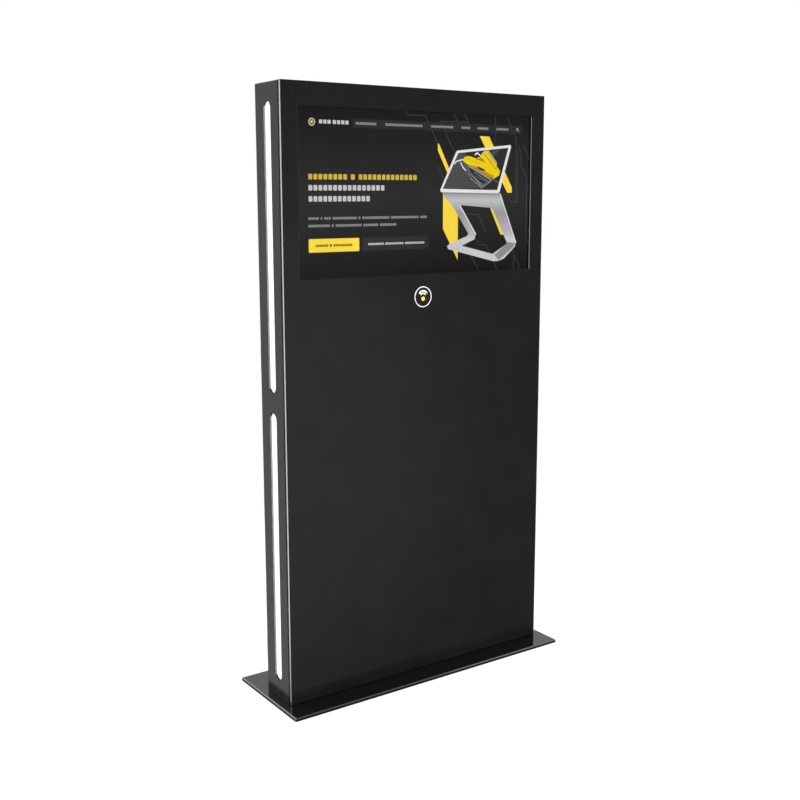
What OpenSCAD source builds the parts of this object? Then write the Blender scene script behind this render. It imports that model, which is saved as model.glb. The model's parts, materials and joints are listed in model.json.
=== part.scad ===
/* [Cabinet] */
// Width of the cabinet
body_w = 1068; // [1040:2:1120]
// Depth of the cabinet
body_d = 157; // [157:1:180]
// Height of the cabinet above the base plate
body_h = 2000; // [1960:2:2100]
// Sheet metal thickness
sheet = 2; // [1.5:0.5:2]
// Radius of the front panel's vertical bends
corner_r = 6; // [4:1:8]
// Depth of the front panel's side returns
front_return = 9; // [9:0.5:11]
// Shadow gap between the front panel and the side panels
seam = 5.5; // [2:0.5:6]
// Shadow gap between the outer panels and the base plate
foot_gap = 2.5; // [1:0.5:4]

/* [Base plate] */
// Width of the base plate
plate_w = 1134; // [1120:2:1200]
// Depth of the base plate
plate_d = 382; // [350:2:450]
// Thickness of the base plate
plate_t = 10; // [8:1:12]
// How far the plate stands out in front of the cabinet
front_overhang = 87; // [70:1:110]
// Height of the shallow bevel round the plate's top
plate_bevel = 2.4; // [1:0.2:3]
// Radius of the plate's corners
plate_corner_r = 7; // [7:1:20]
// Thickness of the rubber pads under the plate
pad_t = 1; // [1:0.5:4]

/* [Screen] */
// Width of the screen opening
screen_w = 949; // [900:1:950]
// Height of the screen opening
screen_h = 530; // [500:1:536]
// Distance from the cabinet's top to the screen opening
screen_drop = 73; // [70:1:90]
// How deep the glass lies behind the front face
glass_recess = 4.7; // [4:0.1:5]
// Radius of the round badge below the screen
badge_r = 36; // [25:1:45]

/* [Light slots] */
// Width of each light slot
slot_w = 46; // [36:1:48]
// Distance from the front face to the middle of the slots
slot_back = 84.5; // [82:0.5:86]
// Distance from the cabinet's top to the upper slots
slot_drop = 57; // [55:1:90]
// Height of the lower slots' bottom ends above the base plate
slot_rise = 61; // [55:1:90]
// Gap between the lower and the upper slot
slot_gap = 64.5; // [60:0.5:100]
// How deep the diffuser lies behind the side face
slot_depth = 7; // [6:1:9]

/* [Service door] */
// Height of the service door's top edge above the base plate
door_top = 1240; // [1200:5:1260]
// Height of the sill under the service door
sill_h = 54; // [50:1:60]
// Gap round the service door and the rear cover
door_gap = 1.5; // [1:0.5:2]
// Number of hinges on the service door
hinge_count = 3; // [2:1:4]

/* [Hidden] */
$fn = 48;
black = "#26282b";
metal = "#b9bcc0";

// Main planes. The origin is on the floor, at the middle of the base plate, with the front towards -Y.
half_w = body_w / 2;
deck_z = pad_t + plate_t;
top_z = deck_z + body_h;
front_y = front_overhang - plate_d / 2;
rear_y = front_y + body_d;
side_front_y = front_y + front_return + seam;
skin_z = deck_z + foot_gap;
skin_h = top_z - skin_z;

// Base hardware. The bevel is twice as wide as it is high.
bevel_w = 2 * plate_bevel;
pad_x = plate_w / 2 - 45;
pad_y = plate_d / 2 - 45;
pad_r = 20;
anchor_x = 450;
anchor_y = [-40, 130];
anchor_r = 5.5;
bracket_x = 400;
bracket_size = [40, 30, 4];
bolt_r = 4;

// Inner frame of square tube, pressed against the side panels' inner faces.
tube = 20;
tube_wall = 2;
post_x = half_w - sheet - tube;
front_post_y = front_y + 19.5;
rear_post_y = rear_y - 40.5;
mid_rail_h = 30;
side_bend_r = 3;

// Rear opening: side flanges, then a ledge set back for the gasket.
flange_w = 19;
ledge_w = 14;
ledge_step = 4;
ledge_x = half_w - flange_w - ledge_w;
opening_x = half_w - flange_w;
panel_x = opening_x - door_gap;
door_z0 = deck_z + sill_h - 0.5 + door_gap / 2;
door_z1 = deck_z + door_top - door_gap / 2;
cover_z0 = door_z1 + door_gap;
cover_z1 = top_z - sheet - door_gap;
panel_y = rear_y - sheet;
ledge_y = rear_y - ledge_step;

// Screen stack, from the glass backwards.
screen_z1 = top_z - screen_drop;
screen_z0 = screen_z1 - screen_h;
screen_z = (screen_z0 + screen_z1) / 2;
mid_rail_z = screen_z0 - 67;
glass_y = front_y + glass_recess;
glass_t = 4;
glass_lap = 12;
sensor_t = 0.3;
retainer_lip = 2;
lcd_y = glass_y + glass_t + retainer_lip + 0.5;
lcd_t = 12;
lcd_back_y = lcd_y + lcd_t;
vesa_x = 200;
vesa_z = 100;
board_drop = 70;
controller_at = [300, screen_z0 + 33];
rail_y = front_post_y + tube;

// Light slots, lower and upper.
slot_y = front_y + slot_back;
slot_len = (body_h - slot_drop - slot_rise - slot_gap) / 2;
slot_z = [deck_z + slot_rise + slot_len / 2, top_z - slot_drop - slot_len / 2];
lip_t = 2;
channel_w = slot_w + 14;
channel_len = slot_len + 14;
channel_d = 22;
channel_wall = 2;
diffuser_t = 3;
diffuser_x = half_w - slot_depth;
channel_x = diffuser_x - diffuser_t - channel_d;
led_pitch = 30;

// Electronics on the equipment plate.
plate_x = 480;
plate_z0 = 330;
gear_y = rail_y + sheet;
pc_size = [230, 45, 200];
pc_at = [-330, gear_y, 950];
pc_wall = 1.2;
button_r = 6;
button_gap = 0.2;
button_x = pc_at.x + 190;
button_z = pc_at.z + 30;
pc_face_y = gear_y + pc_size.y;
strip_size = [440, 44, 56];
strip_at = [-220, gear_y, 620];
strip_face_y = gear_y + strip_size.y;
rocker_at = [180, strip_face_y - 3, strip_at.z + strip_size.z / 2];
rocker_tilt = 8;
rocker_len = 26;
rocker_w = 20;
inlet_at = [-340, rear_y, deck_z + 28];
cable_y = rail_y + 24;

// Cooling fans in the rear cover.
fan_x = 250;
fan_z = top_z - 160;
fan_size = 120;
fan_t = 25;
fan_y = panel_y - fan_t;
fan_bore_r = 56;
fan_hub_r = 18;
fan_screw = 52.5;
shaft_r = 1.5;

// Door hardware.
running_gap = 0.05;
knuckle_r = 4.4;
hinge_x = -opening_x;
hinge_y = rear_y + 4.5;
hinge_h = 80;
pin_r = 2.5;
leaf_t = 2.5;
leaf_w = 16;
lock_x = opening_x - 35;
lock_z = (door_z0 + door_z1) / 2;
barrel_r = 9.5;
plug_r = 6;
cam_len = 34;
screw_r = 2.5;
screw_x = opening_x - 8;
cover_screw_z = [for (i = [0 : 3]) cover_z0 + 25 + i * (cover_z1 - cover_z0 - 50) / 3];

// ---- Helpers ----

module block(low, high) {
    translate(low) cube(high - low);
}

module pair_x() {
    children();
    mirror([1, 0, 0]) children();
}

module rod_x(x0, x1, y, z, r) {
    translate([x0, y, z]) rotate([0, 90, 0]) cylinder(h = x1 - x0, r = r);
}

module rod_y(x, y0, y1, z, r) {
    translate([x, y0, z]) rotate([-90, 0, 0]) cylinder(h = y1 - y0, r = r);
}

// Rectangular ring in the XZ plane: half sizes outside and inside, about the middle of the screen.
module screen_ring(outer, inner, y0, y1) {
    difference() {
        block([-outer.x, y0, screen_z - outer.y], [outer.x, y1, screen_z + outer.y]);
        block([-inner.x, y0 - 1, screen_z - inner.y], [inner.x, y1 + 1, screen_z + inner.y]);
    }
}

module square_tube(low, high) {
    size = high - low;
    wall = [for (s = size) s > 2 * mid_rail_h ? -1 : tube_wall];
    difference() {
        block(low, high);
        block(low + wall, high - wall);
    }
}

// Slot-shaped bar along Z with round ends, from x0 to x1.
module slot_bar(x0, x1, z, width, length) {
    reach = (length - width) / 2;
    block([x0, slot_y - width / 2, z - reach], [x1, slot_y + width / 2, z + reach]);
    for (end = [-reach, reach]) rod_x(x0, x1, slot_y, z + end, width / 2);
}

// Round cable through a list of points, with ball-shaped corners.
module cable(points, r) {
    for (i = [1 : len(points) - 1]) {
        run = points[i] - points[i - 1];
        translate(points[i - 1])
            rotate([0, acos(run.z / norm(run)), atan2(run.y, run.x)])
                cylinder(h = norm(run), r = r);
    }
    for (i = [1 : len(points) - 2]) translate(points[i]) sphere(r = r);
}

// ---- Base ----

module anchor_holes() {
    for (x = [-anchor_x, anchor_x], y = anchor_y)
        translate([x, y, -1]) cylinder(h = deck_z + 2, r = anchor_r);
}

// The places of the four bolts that hold the frame down.
module bracket_places() {
    for (x = [-bracket_x, bracket_x]) {
        translate([x, rail_y, deck_z]) children();
        translate([x, rear_post_y, deck_z]) rotate([0, 0, 180]) children();
    }
}

module bevelled_section(length) {
    polygon([[-length / 2, 0], [length / 2, 0], [length / 2, plate_t - plate_bevel],
        [length / 2 - bevel_w, plate_t], [bevel_w - length / 2, plate_t],
        [-length / 2, plate_t - plate_bevel]]);
}

// The plate without its holes: two crossing slabs, and a round corner where their edges meet.
module plate_blank() {
    corner = [plate_w / 2 - plate_corner_r, plate_d / 2 - plate_corner_r];
    edge_h = plate_t - plate_bevel;
    translate([0, corner.y, 0]) rotate([90, 0, 0])
        linear_extrude(2 * corner.y) bevelled_section(plate_w);
    translate([-corner.x, 0, 0]) rotate([90, 0, 90])
        linear_extrude(2 * corner.x) bevelled_section(plate_d);
    for (x = [-corner.x, corner.x], y = [-corner.y, corner.y]) translate([x, y, 0]) {
        cylinder(h = edge_h, r = plate_corner_r);
        translate([0, 0, edge_h])
            cylinder(h = plate_bevel, r1 = plate_corner_r, r2 = plate_corner_r - bevel_w);
    }
}

module base_plate() {
    color(black) difference() {
        translate([0, 0, pad_t]) plate_blank();
        anchor_holes();
        bracket_places() translate([0, bracket_size.y / 2, -plate_t - 1])
            cylinder(h = plate_t + 2, r = bolt_r + 0.1);
    }
}

module foot_pads() {
    color("#1a1a1a") for (x = [-pad_x, 0, pad_x], y = [-pad_y, pad_y])
        translate([x, y, 0]) cylinder(h = pad_t, r = pad_r);
}

module base_brackets() {
    half = bracket_size.x / 2;
    reach = bracket_size.y;
    t = bracket_size.z;
    color(metal) bracket_places() difference() {
        union() {
            block([-half, 0, 0], [half, reach, t]);
            block([-half, 0, 0], [half, t, reach]);
        }
        translate([0, reach / 2, -1]) cylinder(h = t + 2, r = bolt_r + 0.3);
    }
}

module base_bolts() {
    head_h = 5.3;
    head_r = 7.5;
    t = bracket_size.z;
    color(metal) bracket_places() translate([0, bracket_size.y / 2, 0]) {
        translate([0, 0, t]) cylinder(h = head_h, r = head_r, $fn = 6);
        translate([0, 0, 0.5 - plate_t]) cylinder(h = t + plate_t, r = bolt_r);
    }
}

// ---- Cabinet ----

module inner_frame() {
    rails = [
        [front_post_y, deck_z, tube], [rear_post_y, deck_z, tube],
        [front_post_y, mid_rail_z - mid_rail_h / 2, mid_rail_h],
        [rear_post_y, deck_z + door_top - tube / 2, tube],
        [front_post_y, plate_z0 - 5, tube],
        [front_post_y, top_z - sheet - tube, tube], [rear_post_y, top_z - sheet - tube, tube]];
    color(metal) {
        pair_x() {
            for (y = [front_post_y, rear_post_y])
                square_tube([post_x, y, deck_z], [post_x + tube, y + tube, top_z - sheet]);
            for (z = [deck_z, top_z - sheet - tube])
                square_tube([post_x, rail_y, z], [post_x + tube, rear_post_y, z + tube]);
        }
        for (rail = rails)
            square_tube([-post_x, rail[0], rail[1]], [post_x, rail[0] + tube, rail[1] + rail[2]]);
    }
}

// Plan of the front panel's outside, pulled in by inset and cut off at depth behind the front face.
module front_plan(inset, depth) {
    intersection() {
        union() {
            translate([inset - half_w, front_y + corner_r]) square([body_w - 2 * inset, depth]);
            translate([corner_r - half_w, front_y + inset]) square([body_w - 2 * corner_r, depth]);
            for (side = [-1, 1])
                translate([side * (half_w - corner_r), front_y + corner_r]) circle(corner_r - inset);
        }
        translate([-half_w, front_y]) square([body_w, depth]);
    }
}

module front_panel() {
    color(black) difference() {
        union() {
            translate([0, 0, skin_z]) linear_extrude(skin_h) difference() {
                front_plan(0, front_return);
                front_plan(sheet, front_return + 1);
            }
            for (z = [skin_z, top_z - sheet])
                translate([0, 0, z]) linear_extrude(sheet) front_plan(0, front_return);
        }
        block([-screen_w / 2, front_y - 1, screen_z0], [screen_w / 2, glass_y, screen_z1]);
    }
}

// Z-shaped spacers that hold the front panel off the inner frame's front rails.
module front_clips() {
    clip_x = 300;
    half = 20;
    panel_back_y = front_y + sheet;
    off_flange = 3;
    rail_z = [deck_z + tube / 2 + off_flange, plate_z0 - 5 + tube / 2, mid_rail_z,
        top_z - sheet - tube / 2 - off_flange];
    color(metal) for (x = [-clip_x, clip_x], z = rail_z) translate([x, 0, z]) {
        block([-half, panel_back_y, -7], [half, panel_back_y + sheet, sheet / 2]);
        block([-half, panel_back_y, -sheet / 2], [half, front_post_y, sheet / 2]);
        block([-half, front_post_y - sheet, -sheet / 2], [half, front_post_y, 7]);
    }
}

// Section of the right side panel across its top bend, in X and Z.
module side_section() {
    left = half_w - flange_w;
    difference() {
        union() {
            translate([left, skin_z]) square([flange_w, skin_h - side_bend_r]);
            translate([left, skin_z]) square([flange_w - side_bend_r, skin_h]);
            translate([half_w - side_bend_r, top_z - side_bend_r]) circle(side_bend_r);
        }
        translate([left - 1, skin_z - 1]) square([flange_w + 1 - sheet, skin_h + 1 - sheet]);
    }
}

module side_panel() {
    difference() {
        union() {
            translate([0, rear_y, 0]) rotate([90, 0, 0])
                linear_extrude(rear_y - side_front_y) side_section();
            block([half_w - flange_w, side_front_y, skin_z],
                [half_w - sheet, side_front_y + sheet, top_z - sheet]);
            block([opening_x, panel_y, skin_z], [half_w - sheet, rear_y, top_z - sheet]);
            block([opening_x, ledge_y - sheet, skin_z], [opening_x + sheet, rear_y, top_z - sheet]);
            block([ledge_x, ledge_y - sheet, skin_z], [opening_x, ledge_y, top_z - sheet]);
            for (z = slot_z)
                slot_bar(diffuser_x, half_w - 1, z, slot_w + 2 * lip_t, slot_len + 2 * lip_t);
        }
        for (z = slot_z) slot_bar(diffuser_x - 1, half_w + 1, z, slot_w, slot_len);
        for (z = cover_screw_z) rod_y(screw_x, ledge_y - 5, rear_y, z, screw_r + 0.1);
    }
}

module side_panel_right() {
    color(black) side_panel();
}

module side_panel_left() {
    color(black) mirror([1, 0, 0]) side_panel();
}

module top_screw_places() {
    for (x = [-450, 450]) {
        translate([x, front_post_y + tube / 2, top_z]) children();
        translate([x, rear_post_y + tube / 2, top_z]) children();
    }
}

module top_panel() {
    flange_end = half_w - flange_w - 1;
    lip_h = 8;
    color(black) difference() {
        union() {
            block([-flange_end, side_front_y, top_z - sheet], [flange_end, rear_y, top_z]);
            block([-flange_end, side_front_y, top_z - lip_h], [flange_end, side_front_y + sheet, top_z]);
            block([1 - ledge_x, ledge_y - sheet, top_z - 25], [ledge_x - 1, ledge_y, top_z - sheet]);
        }
        top_screw_places() flush_cone(0.2);
    }
}

module rear_crossrail() {
    z = deck_z + door_top;
    y0 = rear_post_y + tube;
    color(black) difference() {
        block([1 - ledge_x, y0, z - 15], [ledge_x - 1, ledge_y, z + 15]);
        block([-ledge_x, y0 - 1, z - 15 + sheet], [ledge_x, ledge_y - sheet, z + 15 - sheet]);
    }
}

module rear_sill() {
    sill_top = deck_z + sill_h;
    color(black) difference() {
        union() {
            block([-panel_x, panel_y, skin_z], [panel_x, rear_y, sill_top - door_gap]);
            block([1 - ledge_x, ledge_y - sheet, sill_top - door_gap - sheet],
                [ledge_x - 1, rear_y, sill_top - door_gap]);
            block([1 - ledge_x, ledge_y - sheet, sill_top - door_gap - sheet],
                [ledge_x - 1, ledge_y, sill_top + 12]);
        }
        block(inlet_at - [14, 30, 10.5], inlet_at + [14, 1, 10.5]);
    }
}

module rear_cover() {
    hem = ledge_w - 2;
    color(black) difference() {
        union() {
            block([-panel_x, panel_y, cover_z0], [panel_x, rear_y, cover_z1]);
            difference() {
                block([-panel_x, ledge_y, cover_z0], [panel_x, panel_y, cover_z1]);
                block([hem - panel_x, ledge_y - 1, cover_z0 + hem],
                    [panel_x - hem, panel_y + 1, cover_z1 - hem]);
            }
        }
        pair_x() {
            rod_y(fan_x, panel_y - 1, rear_y + 1, fan_z, fan_bore_r);
            for (u = [-fan_screw, fan_screw], v = [-fan_screw, fan_screw])
                rod_y(fan_x + u, panel_y - 1, rear_y + 1, fan_z + v, 2.2);
            for (z = cover_screw_z) rod_y(screw_x, ledge_y - 1, rear_y + 1, z, screw_r + 0.2);
        }
    }
}

// Button-head screw along +Z with its bearing face at z = 0.
module button_screw(length) {
    head_h = 2.6;
    head_r = 4.75;
    difference() {
        union() {
            cylinder(h = head_h - 0.8, r = head_r);
            translate([0, 0, head_h - 0.8]) cylinder(h = 0.8, r1 = head_r, r2 = head_r - 1.4, $fn = 32);
            translate([0, 0, -length]) cylinder(h = length, r = screw_r);
        }
        translate([0, 0, head_h - 1.6]) cylinder(h = 2, r = 1.7, $fn = 6);
    }
}

// Countersunk head in the top panel, widened by gap for its hole.
module flush_cone(gap) {
    translate([0, 0, -sheet]) cylinder(h = sheet, r1 = screw_r + gap, r2 = screw_r + sheet + gap);
}

module panel_screws() {
    color(metal) {
        pair_x() for (z = cover_screw_z)
            translate([screw_x, rear_y, z]) rotate([-90, 0, 0]) button_screw(12);
        top_screw_places() difference() {
            flush_cone(0);
            translate([0, 0, -1.2]) cylinder(h = 2, r = 1.7, $fn = 6);
        }
    }
}

module emblem_badge() {
    z = screen_z0 - 76;
    disc_t = 0.8;
    relief = 0.5;
    color("#e8e8e8") {
        rod_y(0, front_y - disc_t, front_y, z, badge_r);
        difference() {
            rod_y(0, front_y - disc_t - relief, front_y - disc_t, z, badge_r);
            rod_y(0, front_y - 3, front_y, z, badge_r * 0.9);
        }
        rod_y(0, front_y - disc_t - relief, front_y - disc_t, z, badge_r * 0.2);
        difference() {
            rod_y(0, front_y - disc_t - relief, front_y - disc_t, z, badge_r * 0.5);
            rod_y(0, front_y - 3, front_y, z, badge_r * 0.4);
        }
    }
}

// ---- Display ----

screen_half = [screen_w, screen_h] / 2;
glass_half = screen_half + [glass_lap, glass_lap];

module touch_glass() {
    color("#14161a") block([-glass_half.x, glass_y, screen_z - glass_half.y],
        [glass_half.x, glass_y + glass_t, screen_z + glass_half.y]);
}

module touch_sensor() {
    y = glass_y + glass_t;
    half = screen_half + [2, 2];
    color("#30343a") block([-half.x, y, screen_z - half.y], [half.x, y + sensor_t, screen_z + half.y]);
}

module glass_gasket() {
    color("#111111") screen_ring(glass_half - [1, 1], screen_half + [2, 2], front_y + sheet, glass_y);
}

module glass_retainer() {
    outer = glass_half + [14, 14];
    pocket = glass_half + [0.5, 0.5];
    color(metal) difference() {
        screen_ring(outer, screen_half + [3, 3], front_y + sheet, glass_y + glass_t + retainer_lip);
        block([-pocket.x, front_y, screen_z - pocket.y],
            [pocket.x, glass_y + glass_t, screen_z + pocket.y]);
    }
}

module vesa_places() {
    for (x = [-vesa_x, vesa_x], z = [-vesa_z, vesa_z]) translate([x, 0, screen_z + z]) children();
}

module lcd_panel() {
    half = screen_half + [11, 11];
    color("#0d0f12") difference() {
        union() {
            block([-half.x, lcd_y, screen_z - half.y], [half.x, lcd_back_y, screen_z + half.y]);
            vesa_places() rod_y(0, lcd_back_y, rail_y, 0, 8);
        }
        block([0.5 - screen_half.x, lcd_y - 1, screen_z0 + 0.5],
            [screen_half.x - 0.5, lcd_y + 1, screen_z1 - 0.5]);
    }
}

// Board with a heat sink, a row of sockets and its main chip, by their low corners and sizes.
module lcd_driver_board() {
    board_z = screen_z - board_drop;
    sink = [[-100, lcd_back_y, board_z + 30], [50, 12, 50]];
    sockets = [[-20, lcd_back_y, board_z], [80, 10, 25]];
    chip = [[20, lcd_back_y, board_z + 70], [35, 5, 35]];
    color("#2f6b3f") {
        translate([-125, lcd_back_y, board_z]) cube([250, 1.6, 160]);
        for (part = [sink, sockets, chip]) translate(part[0]) cube(part[1]);
    }
}

module touch_controller() {
    color("#3a3d40") translate([controller_at.x, lcd_back_y, controller_at.y]) cube([100, 14, 60]);
}

// One channel that runs from the mid rail to the top rail behind the display.
module display_rail(side) {
    half = 20;
    depth = 15;
    z1 = top_z - sheet - 2;
    color(metal) translate([side * vesa_x, rail_y, 0]) {
        block([-half, 0, mid_rail_z], [half, sheet, z1]);
        for (x = [-half, half - sheet]) block([x, 0, mid_rail_z], [x + sheet, depth, z1]);
    }
}

module display_rail_left() {
    display_rail(-1);
}

module display_rail_right() {
    display_rail(1);
}

// ---- Lighting: side is -1 or 1, level is 0 for the lower slot and 1 for the upper one ----

module on_side(side) {
    if (side > 0) children();
    else mirror([1, 0, 0]) children();
}

module diffuser(side, level) {
    z = slot_z[level];
    color("white") on_side(side)
        block([diffuser_x - diffuser_t, slot_y - channel_w / 2, z - channel_len / 2],
            [diffuser_x, slot_y + channel_w / 2, z + channel_len / 2]);
}

module light_channel(side, level) {
    z = slot_z[level];
    color(metal) on_side(side) difference() {
        block([channel_x, slot_y - channel_w / 2, z - channel_len / 2],
            [diffuser_x - diffuser_t, slot_y + channel_w / 2, z + channel_len / 2]);
        block([channel_x + channel_wall, slot_y - channel_w / 2 + channel_wall, z - channel_len],
            [half_w, slot_y + channel_w / 2 - channel_wall, z + channel_len]);
    }
}

module led_strip(side, level) {
    z = slot_z[level];
    x = channel_x + channel_wall;
    board_t = 1.2;
    led = [1.6, 5, 5];
    led_count = floor((slot_len - 20) / led_pitch);
    color("#f4f1e6") on_side(side) {
        block([x, slot_y - 6, z - slot_len / 2], [x + board_t, slot_y + 6, z + slot_len / 2]);
        for (i = [0 : led_count])
            translate([x + board_t, slot_y - led.y / 2, z + (i - led_count / 2) * led_pitch - led.z / 2])
                cube(led);
    }
}

// ---- Electronics ----

module equipment_plate() {
    color(metal) block([-plate_x, rail_y, plate_z0], [plate_x, gear_y, mid_rail_z - 1]);
}

module mini_pc() {
    inner_low = pc_at + [pc_wall, pc_wall, pc_wall];
    inner_high = pc_at + pc_size - [pc_wall, pc_wall, pc_wall];
    color("#3c3f44") difference() {
        block(pc_at, pc_at + pc_size);
        block(inner_low, inner_high);
        rod_y(button_x, pc_face_y - 5, pc_face_y + 1, button_z, button_r + button_gap);
        for (i = [0 : 9])
            translate([pc_at.x + 40 + i * 9, pc_face_y - 3, pc_at.z + 90]) cube([3, 5, 80]);
    }
}

module pc_power_button() {
    flange_y = pc_face_y - pc_wall - 2.5;
    color("#d0d3d6") {
        rod_y(button_x, flange_y, pc_face_y + 1.8, button_z, button_r);
        rod_y(button_x, flange_y, flange_y + 1, button_z, button_r + 2);
    }
}

// Metal case with a fixing tab at each end.
module led_driver() {
    size = [230, 38, 68];
    tab = [14, 3, 40];
    color("#c8cbd0") translate([60, gear_y, 1000]) {
        cube(size);
        for (x = [-tab.x, size.x]) translate([x, 0, (size.z - tab.z) / 2]) cube(tab);
    }
}

module power_strip() {
    color("#dedfe0") difference() {
        block(strip_at, strip_at + strip_size);
        for (i = [0 : 4])
            rod_y(strip_at.x + 50 + i * 70, strip_face_y - 16, strip_face_y + 1, rocker_at.z, 19);
        difference() {
            translate([rocker_at.x - 15, strip_face_y - 18, rocker_at.z - rocker_w / 2 - 0.5])
                cube([30, 20, rocker_w + 1]);
            translate([rocker_at.x, rocker_at.y, strip_at.z]) cylinder(h = strip_size.z, r = 2);
        }
    }
}

// The rocker rests with its left end pressed in.
module power_rocker() {
    half = rocker_len / 2;
    color("#c62f2a") translate(rocker_at - [0, 0, rocker_w / 2]) difference() {
        rotate([0, 0, rocker_tilt]) linear_extrude(rocker_w)
            polygon([[-half, 3], [0, 1.2], [half, 3], [0.7 * half, -7], [-0.7 * half, -7]]);
        translate([0, 0, -1]) cylinder(h = rocker_w + 2, r = 2 + running_gap);
    }
}

module mains_inlet() {
    color("#1c1c1e") difference() {
        union() {
            block(inlet_at - [13.5, 16, 10], inlet_at + [13.5, 0, 10]);
            block(inlet_at - [25, 0, 12], inlet_at + [25, 2, 12]);
        }
        difference() {
            block(inlet_at - [11.5, 13, 8], inlet_at + [11.5, 3, 8]);
            for (pin = [[-7, -2.5], [0, 2.5], [7, -2.5]])
                block(inlet_at + [pin[0] - 1, -14, pin[1] - 2], inlet_at + [pin[0] + 1, -2, pin[1] + 2]);
        }
    }
}

module mains_lead() {
    start = [inlet_at.x, inlet_at.y - 16, inlet_at.z];
    z = strip_at.z + strip_size.z / 2;
    color("#151515") cable([start, [start.x, cable_y, start.z], [start.x, cable_y, z],
        [strip_at.x, cable_y, z]], 4);
}

module display_cable() {
    board_z = screen_z - board_drop;
    x = pc_at.x + 170;
    y = lcd_back_y + 7;
    color("#1b1b1f") cable([[x, cable_y, pc_at.z + pc_size.z], [x, cable_y, board_z - 40],
        [0, cable_y, board_z - 40], [0, y, board_z - 40], [0, y, board_z]], 3);
}

module usb_cable() {
    x0 = pc_at.x + 210;
    x1 = controller_at.x + 50;
    y = lcd_back_y + 7;
    back_y = cable_y + 8;
    low_z = mid_rail_z - 100;
    high_z = controller_at.y - 40;
    color("#2a2d55") cable([[x0, back_y, pc_at.z + pc_size.z], [x0, back_y, low_z],
        [x1, back_y, low_z], [x1, back_y, high_z], [x1, y, high_z], [x1, y, controller_at.y]], 2.5);
}

// ---- Cooling ----

module fan_frame_plan() {
    difference() {
        square(fan_size, center = true);
        circle(fan_bore_r);
    }
}

module fan_housing(side) {
    arm_t = 3;
    arm_w = 6;
    color("#17181a") translate([side * fan_x, fan_y + fan_t, fan_z]) rotate([90, 0, 0]) {
        difference() {
            union() {
                linear_extrude(fan_t) fan_frame_plan();
                translate([0, 0, fan_t - arm_t]) linear_extrude(arm_t) {
                    circle(fan_hub_r);
                    for (a = [45, 135]) rotate(a) square([2 * fan_bore_r + 4, arm_w], center = true);
                }
            }
            for (u = [-fan_screw, fan_screw], v = [-fan_screw, fan_screw])
                translate([u, v, -1]) cylinder(h = fan_t + 2, r = 2.1);
        }
        translate([0, 0, fan_t - 17]) cylinder(h = 16, r = shaft_r);
    }
}

module fan_rotor(side) {
    blade_count = 7;
    tip_r = fan_bore_r - 2;
    color("#202226") translate([side * fan_x, fan_y, fan_z]) {
        difference() {
            rod_y(0, 4, 21, 0, fan_hub_r);
            rod_y(0, 3, 18, 0, shaft_r + running_gap);
        }
        difference() {
            for (i = [0 : blade_count - 1]) rotate([0, i * 360 / blade_count, 0])
                translate([0, 12.5, 0]) rotate([38, 0, 0])
                    block([fan_hub_r - 3, -0.9, -10], [tip_r + 4, 0.9, 10]);
            difference() {
                rod_y(0, 0, fan_t, 0, tip_r + 20);
                rod_y(0, -1, fan_t + 1, 0, tip_r);
            }
            rod_y(0, 0, fan_t, 0, fan_hub_r - 1);
        }
    }
}

// Pressed finger guard: rings and four spokes cut from sheet, with a lug at each screw.
module fan_guard(side) {
    guard_t = 1.5;
    wire_w = 2;
    lug_at = fan_screw * sqrt(2);
    color(metal) translate([side * fan_x, rear_y + guard_t, fan_z]) rotate([90, 0, 0])
        linear_extrude(guard_t) difference() {
            union() {
                for (r = [14 : 10 : 54]) difference() {
                    circle(r + wire_w);
                    circle(r);
                }
                for (a = [45 : 90 : 315]) rotate(a) {
                    translate([15, -wire_w / 2]) square([lug_at - 15, wire_w]);
                    translate([lug_at, 0]) circle(5);
                }
            }
            for (a = [45 : 90 : 315]) rotate(a) translate([lug_at, 0]) circle(2.1);
        }
}

module fan_screws() {
    color(metal) for (side = [-1, 1], u = [-fan_screw, fan_screw], v = [-fan_screw, fan_screw])
        translate([side * fan_x + u, rear_y + 1.5, fan_z + v]) rotate([-90, 0, 0]) {
            cylinder(h = 2.2, r = 3.8);
            translate([0, 0, -24]) cylinder(h = 24, r = 2);
        }
}

// ---- Service door ----

// Rows of round-ended air slots, upwards from z0.
module vent_rows(z0) {
    pitch = [36, 18];
    reach = 11;
    r = 2;
    for (row = [0 : 4], col = [-8 : 8]) {
        x = col * pitch.x;
        z = z0 + row * pitch.y;
        block([x - reach, panel_y - 1, z - r], [x + reach, rear_y + 1, z + r]);
        for (end = [-reach, reach]) rod_y(x + end, panel_y - 1, rear_y + 1, z, r);
    }
}

module service_door() {
    stiffener = [40, 12];
    x = 330;
    margin = 40;
    color(black) difference() {
        union() {
            block([-panel_x, panel_y, door_z0], [panel_x, rear_y, door_z1]);
            pair_x() difference() {
                block([x, panel_y - stiffener.y, door_z0 + margin],
                    [x + stiffener.x, panel_y, door_z1 - margin]);
                block([x + sheet, panel_y - stiffener.y + sheet, door_z0],
                    [x + stiffener.x - sheet, panel_y, door_z1]);
            }
        }
        rod_y(lock_x, panel_y - 1, rear_y + 1, lock_z, barrel_r + 0.1);
        vent_rows(door_z0 + 90);
    }
}

module door_gasket() {
    inset = 1.5;
    inner = inset + ledge_w - 4;
    color("#0f0f10") difference() {
        block([inset - panel_x, ledge_y, door_z0 + inset], [panel_x - inset, panel_y, door_z1 - inset]);
        block([inner - panel_x, ledge_y - 1, door_z0 + inner],
            [panel_x - inner, panel_y + 1, door_z1 - inner]);
    }
}

function hinge_z(i) =
    door_z0 + 60 + hinge_h / 2 + i * (door_z1 - door_z0 - 120 - hinge_h) / (hinge_count - 1);

// One stretch of knuckle with its bore, centred on the hinge axis.
module knuckle(z0, z1, bore_r) {
    difference() {
        translate([0, 0, z0]) cylinder(h = z1 - z0, r = knuckle_r);
        translate([0, 0, z0 - 1]) cylinder(h = z1 - z0 + 2, r = bore_r);
    }
}

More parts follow.
